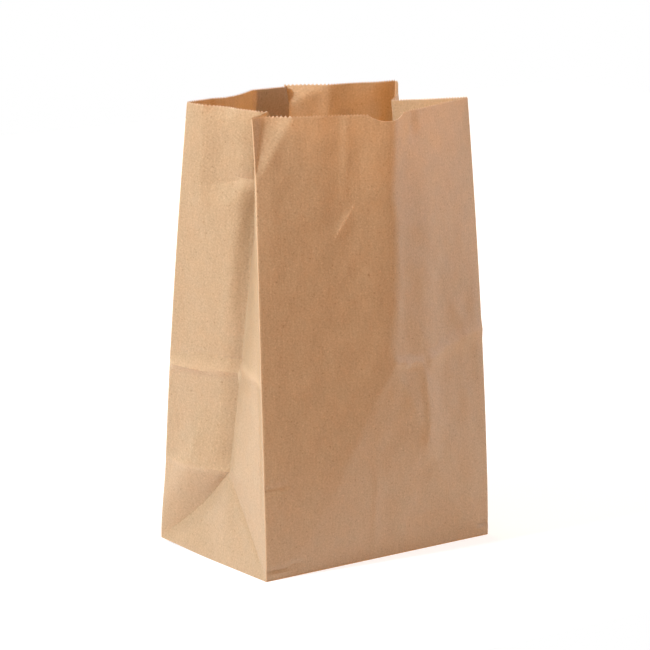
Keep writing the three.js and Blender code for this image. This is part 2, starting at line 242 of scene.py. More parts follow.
REAR_CREASES = [
    # The packing crease, and the crease level with the tips of the feet
    Crease((-8, 148), (218, 146), 0.9, 7, 7, 0.3),
    Crease((-8, 67), (218, 67), 0.5, 5, 5, 0.2),
    # The bend left of the lap
    Crease((49, 345), (60, 150), 0.6, 8, 8, 0),
    # Short creases in the rim, near the left fold
    Crease((24, 348), (36, 300), 1.4, 5, 8, 0, 14),
    Crease((40, 348), (34, 310), -1.4, 5, 7, 0, 14),
    # The bend right of the lap
    Crease((PANEL_WIDTH - 64, 345), (PANEL_WIDTH - 74, 150), 0.6, 8, 8, 0),
]

# Patterns of the paper, and where the floor and the base's layers lie in them
Pattern = namedtuple("Pattern", "size detail")
CLOUD = Pattern(16, 3)
FLECK = Pattern(2.2, 1)
GRAIN = Pattern(1.35, 1)
GRAIN_TURN = math.radians(33)
STREAK = Pattern(1.3, 2)
STREAK_LENGTH = 13
STREAK_SHARE = 0.3  # of the streaks, mixed with the grain
CLOUD_SHARE = 0.18  # of the clouds, mixed with both
MARK_REACH = 1.6  # how far the sharp crease's pale line, a painted highlight on paler creased paper, reaches to each side
MARK_HEIGHT = 3  # how far it stands out, against the grain
FLOOR_PLACE = (900, 200)
LAYER_PLACE = (1200, 200)

# Values of a pattern between which a share grows from 0 to 1, or to what To Max says
TONES = {"From Min": 0.3, "From Max": 0.7}
DARK_FLECKS = {"From Min": 0.67, "From Max": 0.74, "To Max": 0.55}
PALE_FLECKS = {"From Min": 0.34, "From Max": 0.28, "To Max": 0.35}
MARK_PATCHES = {"From Min": 0.4, "From Max": 0.6}

# Colours and finish of the paper
DARK_BROWN = "#A58D6B"
LIGHT_BROWN = "#D0BA93"
DARK_FLECK = "#7E5A38"
PALE_FLECK = "#E8CBA2"
# Pale colour of rubbed paper, used also as a painted highlight along folds and creases
RUBBED_AND_HIGHLIGHT = "#EACFA6"
CUT_CREAM = "#F0DDBE"
LIGHT_THROUGH = "#EBBF82"
RUB_AND_HIGHLIGHT_SHARE = 0.8  # of the pale colour where the paleness of rubbed paper and painted highlight is 1
BUMP_STRENGTH = 0.5
BUMP_DEPTH = 0.1
ROUGHNESS = 0.42
SHEEN = 0.8
TRANSLUCENCY = 0.32  # share of the light that goes on through the paper
UNEVENNESS = 0.1  # share of it by which it changes with the clouds
CLOUD_LIMITS = {"From Min": 0.35, "From Max": 0.65}  # values of the clouds between which it does
SHARP_ANGLE = math.radians(26)  # from which a fold isn't shaded smooth

# Camera, matched to the photograph's frame
CAMERA_PLACE = (-1267.0, -1700.7, 618.0)
CAMERA_TURN = math.radians(36.65)  # to the left of straight in front
CAMERA_RISE = math.radians(12.02)
FOCAL_PIXELS = 2874
FRAME_PIXELS = 650
SENSOR = 36

# The stage, in metres
LAMPS = [
    dict(name="left key", place=(-1.7, 0.1, 1.5), size=0.26, power=70, colour="#DBEAFD", mirrored=False),
    dict(name="right fill", place=(2.2, -1.2, 0.5), size=1.7, power=18, colour="#B8E6FF", mirrored=True),
    dict(name="back lamp", place=(0.0, 2.3, 1.0), size=1.2, power=60, colour="#FFE6BC", mirrored=True),
]
LAMP_AIM = (0, 0, 0.16)
WHITE = "#FFFFFF"
CARD_COLOUR = "#A6A6A4"
FLOOR_EDGES = (-0.9, 2.0, -0.28, 2.0)  # left, right, front and rear
FLOOR_LIFT = 0.75  # light the floor adds to what falls on it, so that it shows white but keeps the shadow
FLOOR_SHEEN = 2.1  # the same for what the paper mirrors of it
SHEEN_COLOUR = "#FFEEE4"
BACKDROP_WAY = (0.3, 0.95, 0)
BACKDROP_START = -0.2  # how far that way the backdrop begins, from -1 in front of the bag to 1 behind it
BACKDROP_FULL = 0.5
BACKDROP_LIGHT = 0.5
ROOM_LIGHT = 0.97
ROOM_COLOUR = "#FFD3B4"


def linear(code):
    """The linear colour of an sRGB hex value."""
    values = [int(code[i:i + 2], 16) / 255 for i in (1, 3, 5)]
    return tuple(v / 12.92 if v <= 0.04045 else ((v + 0.055) / 1.055) ** 2.4 for v in values) + (1,)


def add(tree, kind, links=None, **settings):
    """Adds a node to a tree, with its settings and the values, sockets, nodes or lists of them that go into
    its inputs. A node there stands for the first of its outputs that is in use."""
    made = tree.nodes.new(kind)
    for name, value in settings.items():
        setattr(made, name, value)
    for name, source in (links or {}).items():
        sources = source if isinstance(source, list) else [source]
        for item in sources:
            if isinstance(item, bpy.types.Node):
                item = next(output for output in item.outputs if output.enabled)
            if isinstance(item, bpy.types.NodeSocket):
                tree.links.new(item, made.inputs[name])
            else:
                made.inputs[name].default_value = item
    return made


# Shape rule

def mix(a, b, share):
    """Points on the way from one to another."""
    return a + (b - a) * share[..., None]


def smooth(share):
    """Eases a share that runs from 0 to 1."""
    share = np.clip(share, 0, 1)
    return share * share * (3 - 2 * share)


def soft_least(a, b, depth):
    """The lesser of two values, rounded where they cross."""
    share = np.clip(0.5 + (b - a) / (2 * depth), 0, 1)
    return b + (a - b) * share - depth * share * (1 - share)


def wander(across, up, waver):
    """Smooth seeded noise, with bumps about a cell wide and tall."""
    grid = np.random.default_rng(waver.seed).uniform(-1, 1, (NOISE_CELLS, NOISE_CELLS))
    column = across / waver.cell[0] + NOISE_START
    row = up / waver.cell[1] + NOISE_START
    j = np.floor(column).astype(int)
    i = np.floor(row).astype(int)
    right = smooth(column - j)
    top = smooth(row - i)

    def value(i, j):
        return grid[i % NOISE_CELLS, j % NOISE_CELLS]

    low = value(i, j) * (1 - right) + value(i, j + 1) * right
    high = value(i + 1, j) * (1 - right) + value(i + 1, j + 1) * right
    return waver.depth * (low * (1 - top) + high * top)


def fold_line(fold, height):
    """Points up one of the four upright folds."""
    x, y = FOLD_FEET[fold]
    right, back = FOLD_DRIFTS[fold]
    share = (height / BAG_HEIGHT) ** DRIFT_CURVE
    rise = height * math.sqrt(1 - (right ** 2 + back ** 2) / BAG_HEIGHT ** 2)
    droop = FOLD_DROOPS[fold] * (height / BAG_HEIGHT) ** RIM_CURVE
    bow = FOLD_BOWS.get(fold, 0) * np.sin(np.pi * height / BAG_HEIGHT)
    return np.stack([x + right * share + bow, y + back * share, rise - droop], axis=-1)


def pinch_rise(height):
    """How far up the pinch a height lies, from 0 at its foot to 1 at the rim."""
    return np.clip((height - BAG_HEIGHT + PINCH_HEIGHT) / PINCH_HEIGHT, 0, 1)


def bent_fold(fold, height):
    """A fold with its top bent back where the bag is pinched."""
    points = fold_line(fold, height)
    if fold == "front left":
        points[..., 1] += PINCH_DEPTH * PINCH_FOLD * pinch_rise(height)
    return points


def pinch(across, height):
    """How far the front panel's corner is bent back, behind a ridge that runs down to its left fold."""
    rise = pinch_rise(height)
    share = np.clip(across / np.maximum(PINCH_WIDTH * rise, TINY), 0, 1)
    near = PINCH_FOLD + (1 - PINCH_FOLD) * smooth(share / PINCH_VALLEY)
    far = 1 - np.clip((share - PINCH_VALLEY) / (1 - PINCH_VALLEY), 0, 1) ** PINCH_CURVE
    return PINCH_DEPTH * rise * near * far


def side_crease_plan(front, rear, height):
    """Where a side's middle crease lies in plan: both halves keep their width as the folds close up."""
    start = fold_line(front, height)[..., :2]
    chord = fold_line(rear, height)[..., :2] - start
    length = np.linalg.norm(chord, axis=-1, keepdims=True)
    depth = np.sqrt(np.maximum(0, HALF_SIDE ** 2 - length ** 2 / 4))
    outward = np.sign(FOLD_FEET[front][0]) * chord[..., ::-1] * (1, -1) / length
    return start + chord / 2 - outward * depth


def side_crease(front, rear, height):
    """Points up a side's middle crease, from the tip of the foot's triangle."""
    plan = side_crease_plan(front, rear, height)
    tip = side_crease_plan(front, rear, np.float64(HALF_SIDE))
    tip_inset = np.linalg.norm(tip - (FOLD_FEET[front][0], 0))
    above = height - HALF_SIDE
    share = above / (BAG_HEIGHT - HALF_SIDE)
    run = np.linalg.norm(plan - tip, axis=-1)
    rise = np.sqrt(np.maximum(0, above ** 2 - run ** 2))
    top = math.sqrt(HALF_SIDE ** 2 - tip_inset ** 2) + rise - SIDE_SINK * share ** 2
    shift = np.maximum(0, share)[..., None] ** 2 * CREASE_SHIFTS[front]
    return np.concatenate([plan, top[..., None]], axis=-1) + shift


def half_side_bow(from_front, height):
    """How far a half side stands out between its fold and its crease."""
    ridge = CREASE_RIDGE * np.maximum(0, 1 - np.abs(height - PACKING_CREASE) / CREASE_REACH)
    upper = np.maximum(0, height - PACKING_CREASE) / (BAG_HEIGHT - PACKING_CREASE)
    return ridge + np.where(from_front, 0, SIDE_BOW * upper)


def side_points(front, rear, across, height):
    """Points of a side, across from its front fold: on the foot's triangle, beside it, or above it."""
    from_front = across <= HALF_SIDE
    inset = np.where(from_front, across, SIDE_WIDTH - across)
    front_foot = np.array([*FOLD_FEET[front], 0])
    rear_foot = np.array([*FOLD_FEET[rear], 0])
    tip = side_crease(front, rear, np.float64(HALF_SIDE))
    foot = np.where(from_front[..., None], front_foot, rear_foot)
    edge = np.where(from_front[..., None], bent_fold(front, height), fold_line(rear, height))
    lower = np.minimum(height / HALF_SIDE, 1)
    lean = tip - (front_foot + rear_foot) / 2
    triangle = mix(front_foot, rear_foot, across / SIDE_WIDTH) + lean * lower[..., None]
    beside = mix(edge, mix(foot, tip, lower), inset / np.maximum(height, TINY))
    run = side_crease(front, rear, height) - edge
    out = np.stack([run[..., 1], -run[..., 0], 0 * height], axis=-1)
    out = out / np.maximum(np.linalg.norm(out, axis=-1, keepdims=True), TINY)
    out = out * np.sign(out[..., :1]) * np.sign(front_foot[0])
    share = inset / HALF_SIDE
    bow = half_side_bow(from_front, height) * np.sin(np.pi * share)
    above = edge + run * share[..., None] + out * bow[..., None]
    beside_or_above = np.where((height < HALF_SIDE)[..., None], beside, above)
    return np.where((height <= inset)[..., None], triangle, beside_or_above)


def panel_points(left, right, across, height, bow):
    """Points of the front or rear panel, which stands out from the line between its two folds."""
    start = fold_line(left, height)
    chord = fold_line(right, height) - start
    out = np.stack([chord[..., 1], -chord[..., 0], 0 * height], axis=-1)
    out = out / np.linalg.norm(out, axis=-1, keepdims=True)
    points = start + chord * (across / PANEL_WIDTH)[..., None] + out * bow[..., None]
    points[..., 2] -= bow ** 2 / (2 * np.maximum(height, LEAST_HEIGHT))
    return points


def front_bow(across, height):
    """Three facets: left and right of a ridge under the thumb cut, and one that leans out below."""
    slope = (FRONT_RIM_BOW - FRONT_CREASE_BOW) / (BAG_HEIGHT - PACKING_CREASE)
    upper = FRONT_CREASE_BOW + slope * (height - PACKING_CREASE)
    share = np.minimum(height / PACKING_CREASE, 1)
    hollow = LOWER_HOLLOW * share ** LOWER_CURVE * (1 - share)
    lower = FRONT_CREASE_BOW * height / PACKING_CREASE - hollow
    stray = wander(0 * across, height, RIDGE_WAVER) * smooth((BAG_HEIGHT - height) / FRONT_HOLD)
    ridge = FRONT_RIDGE + stray
    from_left = across / ridge
    from_right = (PANEL_WIDTH - across) / (PANEL_WIDTH - ridge)
    bow = upper * soft_least(from_left, from_right, RIDGE_ROUNDING / FRONT_RIDGE)
    return soft_least(bow, lower, FACET_ROUNDING * smooth(height / FRONT_HOLD) + LEAST_ROUNDING)


def rear_bow(from_left, height):
    """The stiff lap stays flat, and the rear panel bends on both sides of it."""
    lap = np.interp(height, [0, PACKING_CREASE, BAG_HEIGHT], [0, REAR_CREASE_BOW, REAR_RIM_BOW])
    return np.interp(from_left, list(REAR_BENDS), list(REAR_BENDS.values())) / REAR_RIM_BOW * lap


def lap_bend(from_left, up):
    """How far the triangle beside the lap is bent back."""
    past = from_left - LAP_EDGE
    aside = np.where(past > 0, past / BEND_WIDTH, -past / BEND_BESIDE)
    return BEND_DEPTH * np.maximum(0, 1 - aside - (BAG_HEIGHT - up) / BEND_HEIGHT)


# Relief

def crease_share(crease, across, up):
    """From 1 on a crease's line to 0 at its reach, and fading towards both of its ends."""
    (x, y), (end_x, end_y) = crease.start, crease.end
    length = math.hypot(end_x - x, end_y - y)
    run = (end_x - x) / length
    climb = (end_y - y) / length
    along = (across - x) * run + (up - y) * climb
    narrow = min(crease.left, crease.right)
    free = min(1, max(0, narrow - STRAIGHT_REACH) / (STRAY_REACH - STRAIGHT_REACH))
    aside = (up - y) * run - (across - x) * climb + free * wander(across, up, CREASE_WAVER)
    reach = np.where(aside > 0, crease.left, crease.right)
    ends = smooth(along / crease.fade) * smooth((length - along) / crease.fade)
    return np.maximum(0, 1 - np.abs(aside) / reach) ** CREASE_CURVE * ends


def crease_relief(creases, across, up):
    """Relief of a panel's creases, and how far they are painted pale, as worn paper and as a painted
    highlight.
    """
    relief = np.zeros_like(across)
    wear = np.zeros_like(across)
    for crease in creases:
        share = crease_share(crease, across, up)
        relief += crease.rise * share
        wear = np.maximum(wear, crease.wear * share)
    return relief, wear


def wandering(across, up, from_fold):
    """How the paper wanders off its rule, held at its folds and at the base."""
    held = smooth(from_fold / FOLD_STIFFNESS) * smooth(up / (2 * FOLD_STIFFNESS))
    return held * sum(wander(across, up, waver) for waver in (FLUTES, SAGS, CRINKLES))


def foot_pocket(across, up):
    """How far the left side's wall is sunk in behind the rear edge of the foot's triangle."""
    inset = SIDE_WIDTH - across
    above = np.maximum(0, up - inset)
    below = np.maximum(0, inset - up)
    along = np.where(below > 0, (inset + up) / 2, inset)
    depth = POCKET_DEPTH * along * np.maximum(0, HALF_SIDE - along) / (HALF_SIDE / 2) ** 2
    band = np.clip(HALF_SIDE - along, TINY, POCKET_BAND)
    slope = np.maximum(0, 1 - above / band) ** POCKET_CURVE
    ridge = POCKET_RIDGE * smooth(1 - np.maximum(0, up - inset - band) / RIDGE_REACH)
    away = below / math.sqrt(2)
    wall = (1 - POCKET_RIDGE) * np.maximum(0, 1 - away / POCKET_WALL) ** CREASE_CURVE
    sunk = depth * np.where(below > 0, wall, slope - ridge) * smooth(up / SIDE_FOLD_HOLD)
    return np.where(across > HALF_SIDE, sunk, 0)


def fold_wear_and_highlight(up):
    """How far the upright folds are painted pale, most of all near the rim: rubbed paper, and a painted
    highlight along the fold's rounded edge.
    """
    rise = smooth((up - WEAR_AND_HIGHLIGHT_HEIGHT) / (BAG_HEIGHT - WEAR_AND_HIGHLIGHT_HEIGHT))
    return FOLD_WEAR_AND_HIGHLIGHT * (LEAST_WEAR_AND_HIGHLIGHT + (1 - LEAST_WEAR_AND_HIGHLIGHT) * rise)


def panel_relief(across, up, creases, shift):
    """Relief of the front or rear panel, and how far it is painted pale, as wear and as a painted highlight.
    """
    from_fold = np.minimum(across, PANEL_WIDTH - across)
    relief, wear = crease_relief(creases, across, up)
    relief *= smooth(from_fold / FOLD_ROUND)
    relief += wandering(across + shift, up, from_fold)
    relief -= FOOT_ROLL * np.maximum(0, 1 - up / FOOT_ROLL_HEIGHT) ** 2
    return relief, np.maximum(wear, fold_wear_and_highlight(up) * (from_fold == 0))


def side_relief(across, up, creases, shift):
    """Relief and painted paleness of a side, whose paper is held at its middle crease too: wear and painted
    highlight.
    """
    inset = np.minimum(across, SIDE_WIDTH - across)
    from_crease = np.where(up > HALF_SIDE, HALF_SIDE - inset, np.abs(up - inset))
    relief, wear = crease_relief(creases, across, up)
    relief *= smooth(inset / SIDE_FOLD_HOLD) * smooth(up / SIDE_FOLD_HOLD)
    relief += wandering(across + shift, up, np.minimum(inset, from_crease))
    return relief, np.maximum(wear, fold_wear_and_highlight(up) * (inset == 0))


# The sheet as a mesh

# Points of a wall in rows from the foot, with their places around and up the sheet
Wall = namedtuple("Wall", "points around up relief wear")


def spread(start, end, count):
    """Places from start to end, in a count of even steps."""
    return np.linspace(start, end, count + 1)


def panel_columns():
    """Places across a panel: one column for each tooth, and the thumb cut's columns between them."""
    start = THUMB_PLACE - THUMB_WIDTH / 2
    end = THUMB_PLACE + THUMB_WIDTH / 2
    before = spread(0, start, round(start / TOOTH_PITCH))[1:]
    within = spread(start, end, CUT_COLUMNS)[1:-1]
    after = spread(end, PANEL_WIDTH, round((PANEL_WIDTH - end) / TOOTH_PITCH))[:-1]
    last = [PANEL_WIDTH - FOLD_ROUND, PANEL_WIDTH]
    return np.concatenate([[0, FOLD_ROUND], before, within, after, last])


def foot_steps():
    """Steps across half a side, and as far up the foot, so that its sloping creases follow the mesh."""
    return np.concatenate([[0, FOLD_ROUND], spread(0, HALF_SIDE, FOOT_ROWS - 1)[1:]])


def side_columns():
    """Places across a side, the same from both of its folds."""
    steps = foot_steps()
    return np.concatenate([steps, SIDE_WIDTH - steps[-2::-1]])


def grid_strips():
    """How many strips of mesh lie across a panel, and across a side."""
    return len(panel_columns()) - 1, len(side_columns()) - 1


def fold_columns():
    """The columns of the four upright folds."""
    across, deep = grid_strips()
    return [0, across, across + deep, 2 * across + deep]


def row_heights():
    """Heights of the rows, from the base to the feet of the teeth."""
    top = BAG_HEIGHT - TOOTH_DEPTH
    lower = spread(HALF_SIDE, PACKING_CREASE, LOWER_ROWS)
    upper = spread(PACKING_CREASE, top - CUT_EDGE, UPPER_ROWS)
    return np.concatenate([foot_steps(), lower[1:], upper[1:], [top]])


def thumb_cut(across):
    """How far the thumb cut, an arc of a circle, lowers the rim."""
    half = THUMB_WIDTH / 2
    radius = (half ** 2 + THUMB_DEPTH ** 2) / (2 * THUMB_DEPTH)
    aside = np.minimum(np.abs(across - THUMB_PLACE), half)
    return THUMB_DEPTH - radius + np.sqrt(radius ** 2 - aside ** 2)


def front_wall(rows):
    """The front panel from its left fold, with the thumb cut and the pinch."""
    across, up = np.meshgrid(panel_columns(), rows)
    band = np.clip((up - rows[-1] + THUMB_BAND) / THUMB_BAND, 0, 1)
    up = up - band * thumb_cut(across)
    points = panel_points("front left", "front right", across, up, front_bow(across, up))
    points[..., 1] += pinch(across, up)
    return Wall(points, across, up, *panel_relief(across, up, FRONT_CREASES, WALL_SHIFTS["front"]))


def right_wall(rows):
    """The right side from its front fold."""
    across, up = np.meshgrid(side_columns(), rows)
    points = side_points("front right", "rear right", across, up)
    around = across + PANEL_WIDTH
    return Wall(points, around, up, *side_relief(across, up, RIGHT_SIDE_CREASES, WALL_SHIFTS["right"]))


def rear_wall(rows):
    """The rear panel from its right fold."""
    across, up = np.meshgrid(panel_columns(), rows)
    from_left = PANEL_WIDTH - across
    bow = rear_bow(from_left, up) + lap_bend(from_left, up)
    points = panel_points("rear right", "rear left", across, up, bow)
    points[..., 2] += REAR_LIFT * bow / REAR_RIM_BOW * (up / BAG_HEIGHT) ** RIM_CURVE
    around = across + PANEL_WIDTH + SIDE_WIDTH
    return Wall(points, around, up, *panel_relief(from_left, up, REAR_CREASES, WALL_SHIFTS["rear"]))


def left_wall(rows):
    """The left side from its rear fold, with the sunk wall at its foot."""
    across, up = np.meshgrid(side_columns()[::-1], rows)
    points = side_points("front left", "rear left", across, up)
    around = 2 * (PANEL_WIDTH + SIDE_WIDTH) - across
    relief, wear = side_relief(across, up, LEFT_SIDE_CREASES, WALL_SHIFTS["left"])
    return Wall(points, around, up, relief - foot_pocket(across, up), wear)


def grid_normals(points):
    """Outward normals of the tube's grid of points, whose columns close on themselves."""
    around = np.roll(points, -1, axis=1) - np.roll(points, 1, axis=1)
    up = np.gradient(points, axis=0)
    normal = np.cross(around, up)
    return normal / np.maximum(np.linalg.norm(normal, axis=-1, keepdims=True), TINY)


def round_folds(points):
    """Takes the edge off the folds."""
    columns = points.shape[1]
    for column in fold_columns():
        between = (points[:, column - 1] + points[:, (column + 1) % columns]) / 2
        points[:, column] += (between - points[:, column]) * FOLD_EASE
    return points


def wall_tube():
    """The four walls joined into one tube, with their relief, up from the height of the floor."""
    rows = row_heights()
    walls = [front_wall(rows), right_wall(rows), rear_wall(rows), left_wall(rows)]
    tube = Wall(*[np.concatenate([grid[:, :-1] for grid in grids], axis=1) for grids in zip(*walls)])
    points = tube.points + grid_normals(tube.points) * tube.relief[..., None]
    points[0, :, 2] = 0
    points[:, :, 2] += FLOOR_HEIGHT
    return tube._replace(points=round_folds(points))


def wall_faces(rows, columns):
    """Quads of the tube; those that the foot's sloping creases cross are split along them."""
    across, deep = grid_strips()
    faces = []
    for row in range(rows - 1):
        for column in range(columns):
            a = row * columns + column
            b = row * columns + (column + 1) % columns
            c = b + columns
            d = a + columns
            place = (column - across) % (across + deep)
            if place == row and row < FOOT_ROWS:
                faces += [(a, b, c), (a, c, d)]
            elif place == deep - 1 - row and row < FOOT_ROWS:
                faces += [(a, b, d), (b, c, d)]
            else:
                faces.append((a, b, c, d))
    return faces


def floor_points():
    """The floor inside the foot of the tube, in rows from front to rear, without its outline."""
    x = panel_columns()[1:-1] - MIDDLE
    y = side_columns()[1:-1] - HALF_SIDE
    across, back = np.meshgrid(x, y)
    return np.stack([across, back, 0 * across + FLOOR_HEIGHT], axis=-1).reshape(-1, 3)


def floor_faces(first, columns):
    """Quads of the floor, from its own points, numbered from first, and the foot of the tube around them."""
    across, deep = grid_strips()

    def point(i, j):
        if i == 0:
            return j
        if j == across:
            return across + i
        if i == deep:
            return across + deep + (across - j)
        if j == 0:
            return (2 * across + deep + (deep - i)) % columns
        return first + (i - 1) * (across - 1) + (j - 1)

    cells = [(i, j) for i in range(deep) for j in range(across)]
    return [(point(i, j), point(i + 1, j), point(i + 1, j + 1), point(i, j + 1)) for i, j in cells]


def lift_corner(points):
    """Shifts the points around the corner that stands off the floor."""
    away = np.linalg.norm(points - LIFTED_CORNER, axis=-1)
    return points + smooth(1 - away / CORNER_REACH)[:, None] * CORNER_SHIFT


def new_object(name, points, faces, sheet_places, attributes):
    """A mesh object from points in millimetres, with its places on the sheet as a UV map."""
    mesh = bpy.data.meshes.new(name)
    mesh.from_pydata((lift_corner(np.asarray(points)) * MM).tolist(), [], faces)
    corners = np.empty(len(mesh.loops), int)
    mesh.loops.foreach_get("vertex_index", corners)
    layer = mesh.uv_layers.new(name="sheet")
    layer.uv.foreach_set("vector", (np.asarray(sheet_places)[corners] * MM).ravel())
    for attribute, (kind, values) in attributes.items():
        field = "vector" if kind == "FLOAT_VECTOR" else "value"
        mesh.attributes.new(attribute, kind, "POINT").data.foreach_set(field, np.asarray(values).ravel())
    piece = bpy.data.objects.new(name, mesh)
    bpy.context.collection.objects.link(piece)
    return piece


def bag_sheet(tube):
    """Walls and floor of the bag as one skin, with what its rim and its material need."""
    rows, columns = tube.around.shape
    count = rows * columns
    floor = floor_points()
    points = np.concatenate([tube.points.reshape(-1, 3), floor])
    faces = wall_faces(rows, columns) + floor_faces(count, columns)
    places = np.stack([tube.around, tube.up], axis=-1).reshape(-1, 2)
    places = np.concatenate([places, floor[:, :2] + FLOOR_PLACE])
    from_thumb = np.abs(tube.around[-1] - THUMB_PLACE) - THUMB_WIDTH / 2
    toothed = from_thumb >= -TINY
    toothed[fold_columns()] = False
    upward = tube.points[-1] - tube.points[-2]
    top_row = slice(count - columns, count)
    rim = np.zeros(len(points), bool)
    rim[top_row] = toothed
    upwards = np.zeros((len(points), 3))
    upwards[top_row] = upward / np.linalg.norm(upward, axis=-1, keepdims=True)
    wear = np.zeros(len(points))
    wear[:count] = tube.wear.ravel()
    cut = np.zeros(len(points))
    cut[top_row] = np.where(from_thumb < 0, THUMB_PALENESS, GAP_PALENESS)
    return new_object("bag_sheet", points, faces, places, {
        "rim": ("BOOLEAN", rim),
        "upward": ("FLOAT_VECTOR", upwards),
        "wear": ("FLOAT", wear),
        "cut": ("FLOAT", cut),
    })


def seam_lap(tube):
    """The glued lap up the middle of the rear panel, a second layer on its outside."""
    middle = PANEL_WIDTH + SIDE_WIDTH + MIDDLE
    lap = np.flatnonzero(np.abs(tube.around[0] - middle) <= SEAM_WIDTH / 2 + TINY)
    points = (tube.points + grid_normals(tube.points) * (PAPER + LAYER_GAP))[:, lap]
    points[0, :, 2] = FLOOR_HEIGHT + PAPER
    rows, columns = points.shape[:2]
    cells = [row * columns + column for row in range(rows - 1) for column in range(columns - 1)]
    faces = [(a, a + 1, a + 1 + columns, a + columns) for a in cells]
    places = np.stack([tube.around[:, lap], tube.up[:, lap]], axis=-1).reshape(-1, 2)
    wear = tube.wear[:, lap]
    attributes = {"wear": ("FLOAT", wear), "cut": ("FLOAT", 0 * wear)}
    return new_object("seam_lap", points.reshape(-1, 3), faces, places, attributes)


def flat_layer(name, outlines, height):
    """Pieces of paper flat on the base, from the four corners of each, anticlockwise as seen from above."""
    points = [(x, y, height) for outline in outlines for x, y in outline]
    faces = [(a, a + 1, a + 2, a + 3) for a in range(0, len(points), 4)]
    blank = np.zeros(len(points))
    attributes = {"wear": ("FLOAT", blank), "cut": ("FLOAT", blank)}
    return new_object(name, points, faces, np.array(points)[:, :2] + LAYER_PLACE, attributes)


def base_flaps():
    """Front and rear flaps glued under the floor, with their ends cut aslant."""
    edge = HALF_SIDE - FLAP_GAP
    end = MIDDLE - FLAP_GAP
    front_cut = (edge + FLAP_OVERLAP) / 2
    front = [(-end, -edge), (end, -edge), (end - front_cut, FLAP_OVERLAP), (front_cut - end, FLAP_OVERLAP)]
    back = FLAP_OVERLAP + FLAP_GAP
    rear_cut = (edge - back) / 2
    rear = [(rear_cut - end, back), (end - rear_cut, back), (end, edge), (-end, edge)]
    return flat_layer("base_flaps", [front, rear], PAPER / 2)


def base_tucks():
    """The ends of the two sides, tucked in flat on the floor."""
    edge = MIDDLE - 2 * FLAP_GAP
    side = HALF_SIDE - 2 * FLAP_GAP
    reach = edge - TUCK_LENGTH
    left = [(-edge, side), (-edge, -side), (-reach, -side + TUCK_SLANT), (-reach, side - TUCK_SLANT)]
    right = [(-x, -y) for x, y in left]
    return flat_layer("base_tucks", [left, right], FLOOR_HEIGHT + PAPER + LAYER_GAP)


# Rim

def tooth_triangle(tree):
    """A tooth that points along X from its foot, and grows paler towards its tip."""
    triangle = add(tree, "GeometryNodeMeshCircle", {"Vertices": 3, "Radius": 1.0}, fill_type="NGON")
    standing = add(tree, "GeometryNodeTransform", {
        "Geometry": triangle, "Translation": (TRIANGLE_HEIGHT - 1, 0, 0),
    })
    place = add(tree, "GeometryNodeInputPosition")
    axes = add(tree, "ShaderNodeSeparateXYZ", {0: place})
    paleness = add(tree, "ShaderNodeMath", {
        0: axes.outputs["X"], 1: TIP_PALENESS / TRIANGLE_HEIGHT,
    }, operation="MULTIPLY")
    return add(tree, "GeometryNodeStoreNamedAttribute", {
        "Geometry": standing, "Name": "cut", "Value": paleness,
    }, data_type="FLOAT", domain="POINT")


def tooth_feet(tree, sheet):
    """A point on every rim edge, which keeps the edge's run in the attribute along."""
    ends = add(tree, "GeometryNodeInputMeshEdgeVertices").outputs
    run = add(tree, "ShaderNodeVectorMath", {
        0: ends["Position 2"], 1: ends["Position 1"],
    }, operation="SUBTRACT")
    marked = add(tree, "GeometryNodeStoreNamedAttribute", {
        "Geometry": sheet, "Name": "along", "Value": run,
    }, data_type="FLOAT_VECTOR", domain="EDGE")
    on_rim = add(tree, "GeometryNodeInputNamedAttribute", {"Name": "rim"}, data_type="BOOLEAN")
    return add(tree, "GeometryNodeMeshToPoints", {"Mesh": marked, "Selection": on_rim}, mode="EDGES")


def pinked_rim_tree():
    """Geometry nodes that set a triangular tooth on every rim edge of the sheet and weld it there."""
    tree = bpy.data.node_groups.new("pinked_rim", "GeometryNodeTree")
    inputs = {"Sheet": "Geometry", "Tooth Depth": "Float", "Weld": "Float", "Paper": "Material"}
    for name, kind in inputs.items():
        tree.interface.new_socket(name, in_out="INPUT", socket_type="NodeSocket" + kind)
    tree.interface.new_socket("Pinked Sheet", in_out="OUTPUT", socket_type="NodeSocketGeometry")
    given = add(tree, "NodeGroupInput").outputs
    along = add(tree, "GeometryNodeInputNamedAttribute", {"Name": "along"}, data_type="FLOAT_VECTOR")
    upward = add(tree, "GeometryNodeInputNamedAttribute", {"Name": "upward"}, data_type="FLOAT_VECTOR")
    turn = add(tree, "FunctionNodeAxesToRotation", {
        "Primary Axis": along, "Secondary Axis": upward,
    }, primary_axis="Y", secondary_axis="X")
    length = add(tree, "ShaderNodeVectorMath", {0: along}, operation="LENGTH")
    wide = add(tree, "ShaderNodeMath", {0: length, 1: TRIANGLE_WIDTH}, operation="DIVIDE")
    tall = add(tree, "ShaderNodeMath", {0: given["Tooth Depth"], 1: TRIANGLE_HEIGHT}, operation="DIVIDE")
    size = add(tree, "ShaderNodeCombineXYZ", {"X": tall, "Y": wide, "Z": 1.0})
    teeth = add(tree, "GeometryNodeInstanceOnPoints", {
        "Points": tooth_feet(tree, given["Sheet"]), "Instance": tooth_triangle(tree),
        "Rotation": turn, "Scale": size,
    })
    real = add(tree, "GeometryNodeRealizeInstances", {"Geometry": teeth})
    both = add(tree, "GeometryNodeJoinGeometry", {"Geometry": [given["Sheet"], real]})
    welded = add(tree, "GeometryNodeMergeByDistance", {"Geometry": both, "Distance": given["Weld"]})
    papered = add(tree, "GeometryNodeSetMaterial", {"Geometry": welded, "Material": given["Paper"]})
    add(tree, "NodeGroupOutput", {0: papered})
    return tree


def settle(piece):
    """Turns a piece with its modifiers into a plain mesh."""
    bpy.context.view_layer.update()
    graph = bpy.context.evaluated_depsgraph_get()
    evaluated = piece.evaluated_get(graph)
    mesh = bpy.data.meshes.new_from_object(evaluated, preserve_all_data_layers=True, depsgraph=graph)
    piece.modifiers.clear()
    piece.data = mesh
    return mesh


